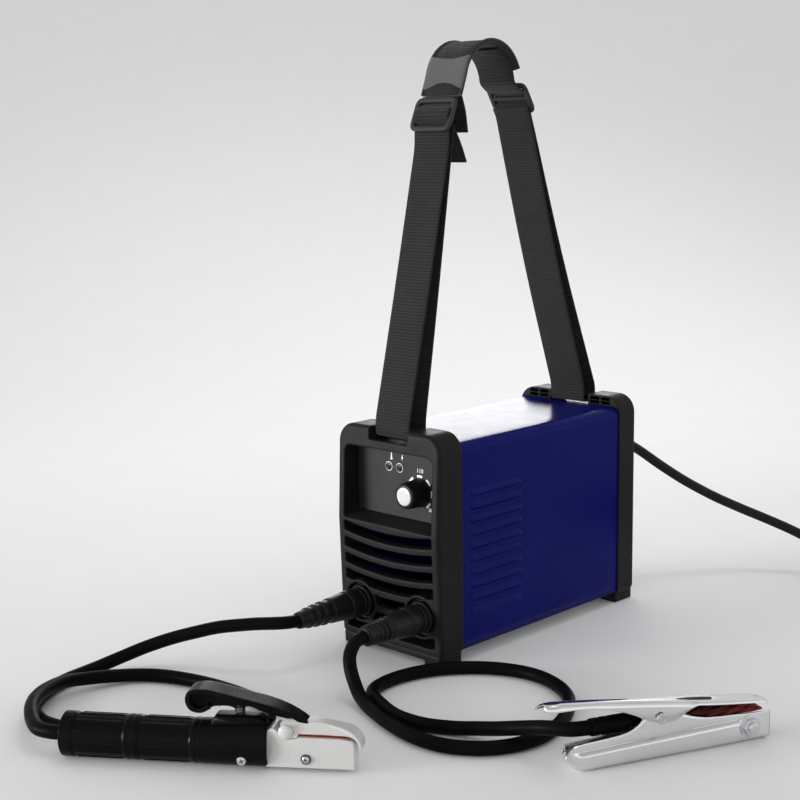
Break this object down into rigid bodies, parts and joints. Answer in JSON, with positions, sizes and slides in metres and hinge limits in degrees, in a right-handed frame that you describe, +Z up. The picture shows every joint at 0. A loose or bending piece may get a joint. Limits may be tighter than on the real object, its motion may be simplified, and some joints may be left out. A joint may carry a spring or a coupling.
{
  "type": "stick welding inverter",
  "caption": "Portable stick welding inverter: a sheet cover between two plastic end frames, a shoulder strap, an electrode holder and a work clamp on leads, and a mains cord.",
  "frame": {"origin": "on the floor, midway between the machine's sides and between its front crest and its rear rim", "axes": "+Z up, -Y is the machine's front, +X its right side as seen from the front"},
  "size_m": [0.4974, 0.961, 0.5285],
  "materials": {
    "black_plastic": "moulded, fine spark texture",
    "blue_paint": "gloss powder coat",
    "zinc_steel": "zinc plated",
    "panel_plastic": "satin overlay",
    "led_lens": "clear lens",
    "board_green": "solder mask",
    "knob_plastic": "semi gloss",
    "white_plastic": "semi gloss",
    "socket_plastic": "moulded",
    "brass": "machined",
    "copper": "copper",
    "red_plastic": "gloss",
    "aluminium": "extruded",
    "ferrite": "ferrite",
    "capacitor_sleeve": "printed sleeve",
    "webbing": "woven nylon, ribbed",
    "pad_fabric": "woven nylon over foam",
    "cap_fabric": "coated grey cloth",
    "buckle_plastic": "moulded",
    "cable_rubber": "satin rubber",
    "holder_plastic": "semi gloss",
    "clamp_steel": "bright zinc plate",
    "cord_rubber": "satin rubber"
  },
  "bodies": {
    "case": {"front_bezel": "black_plastic", "rear_bezel": "black_plastic", "cover": "blue_paint", "base_pan": "zinc_steel", "control_panel": "panel_plastic", "indicator_leds": "led_lens", "potentiometer": "board_green", "left_socket": "socket_plastic", "right_socket": "socket_plastic", "socket_contacts": "brass", "output_busbars": "copper", "power_switch_housing": "knob_plastic", "fan_frame": "knob_plastic", "fan_guard": "zinc_steel", "mains_gland": "knob_plastic", "main_board": "board_green", "heatsinks": "aluminium", "power_transistors": "knob_plastic", "transformer_core": "ferrite", "transformer_winding": "copper", "capacitors": "capacitor_sleeve", "output_inductor": "copper", "rear_screws": "zinc_steel", "base_screws": "zinc_steel", "front_strap": "webbing", "rear_strap": "webbing", "strap_tails": "webbing", "shoulder_pad": "pad_fabric", "pad_end_caps": "cap_fabric", "front_buckle": "buckle_plastic", "rear_buckle": "buckle_plastic", "electrode_plug": "cable_rubber", "work_plug": "cable_rubber", "plug_pins": "brass", "electrode_lead": "cable_rubber", "work_lead": "cable_rubber", "holder_handle": "holder_plastic", "holder_lower_jaw": "white_plastic", "holder_lower_contact": "copper", "holder_pin": "zinc_steel", "holder_spring": "zinc_steel", "holder_screws": "zinc_steel", "clamp_lower": "clamp_steel", "clamp_rivet": "zinc_steel", "clamp_spring": "zinc_steel", "clamp_contacts": "copper", "clamp_bolt": "zinc_steel", "clamp_boot": "cable_rubber", "mains_cord": "cord_rubber", "mains_coil": "cord_rubber", "mains_plug": "cord_rubber"},
    "knob": {"current_knob": "knob_plastic", "knob_cap": "white_plastic", "pot_shaft": "zinc_steel"},
    "rocker": {"power_switch_rocker": "red_plastic"},
    "fan": {"fan_rotor": "knob_plastic"},
    "holder_lever_arm": {"holder_lever": "holder_plastic", "holder_upper_jaw": "white_plastic", "holder_upper_contact": "copper"},
    "clamp_jaw": {"clamp_upper": "clamp_steel"}
  },
  "joints": [
    {"name": "knob_turn", "type": "hinge", "parent": "case", "child": "knob", "pos_m": [0.0215, -0.131, 0.146], "axis": [0, 1, 0], "range_deg": [-135, 135]},
    {"name": "switch_rock", "type": "hinge", "parent": "case", "child": "rocker", "pos_m": [-0.03, 0.132, 0.15], "axis": [1, 0, 0], "range_deg": [-12, 0]},
    {"name": "fan_spin", "type": "hinge", "parent": "case", "child": "fan", "pos_m": [0, 0.118, 0.062], "axis": [0, 1, 0], "continuous": true},
    {"name": "holder_squeeze", "type": "hinge", "parent": "case", "child": "holder_lever_arm", "pos_m": [0.10945, -0.35784, 0.0275], "axis": [0.5664, -0.8241, 0], "range_deg": [0, 6], "stiffness_Nm_per_rad": 6, "springref_deg": -8.59, "deforming": ["holder_spring"]},
    {"name": "clamp_squeeze", "type": "hinge", "parent": "case", "child": "clamp_jaw", "pos_m": [0.29105, -0.1638, 0.03], "axis": [0.9121, -0.4099, 0], "range_deg": [0, 8], "stiffness_Nm_per_rad": 6, "springref_deg": -11.46}
  ]
}
